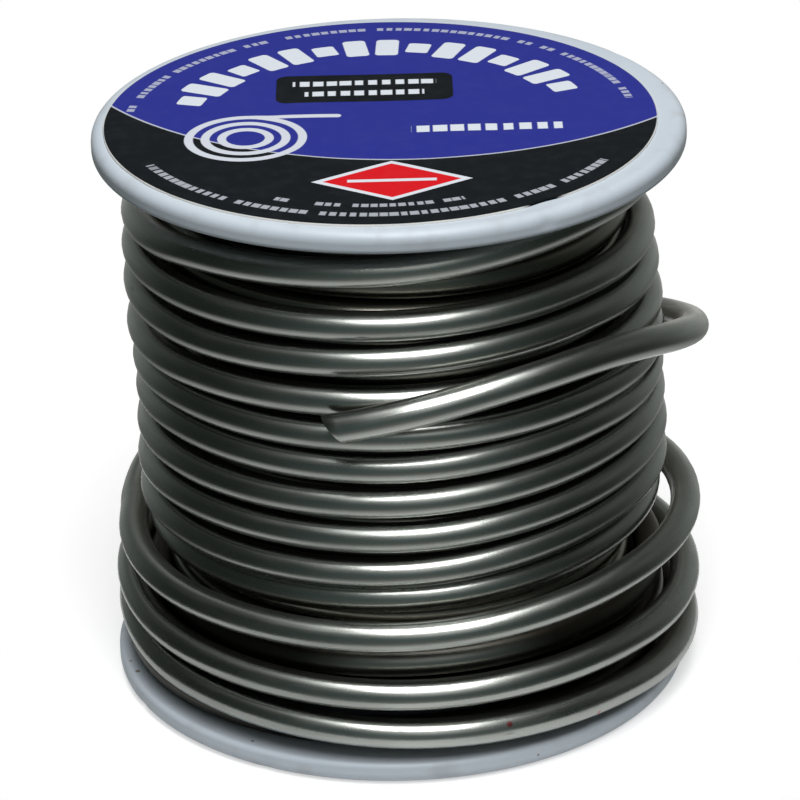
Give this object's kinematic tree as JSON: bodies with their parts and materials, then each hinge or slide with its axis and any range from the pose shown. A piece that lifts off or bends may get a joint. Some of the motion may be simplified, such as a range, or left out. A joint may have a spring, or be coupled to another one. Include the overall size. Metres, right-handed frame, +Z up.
{
  "type": "solder wire spool",
  "caption": "Small flanged reel wound with bright solder wire, its last loops loose and its cut end sprung clear, with a round printed label over the hub.",
  "frame": {"origin": "centre of the spindle bore's mouth, in the plane of the lower flange's outer face that the reel stands on", "axes": "+Z up along the reel's axis, towards the labelled flange; -Y towards the side that the wire's cut end lies on"},
  "size_m": [0.0611, 0.0604, 0.0582],
  "materials": {
    "reel_plastic": "moulded white polystyrene, satin to glossy",
    "label_paper": null,
    "solder": "bright drawn tin solder with fine drawing lines"
  },
  "bodies": {
    "root": {"upper_reel_half": "reel_plastic", "lower_reel_half": "reel_plastic", "top_label": "label_paper", "inner_layers": "solder", "outer_winding": "solder", "wire_tail": "solder"}
  },
  "joints": []
}
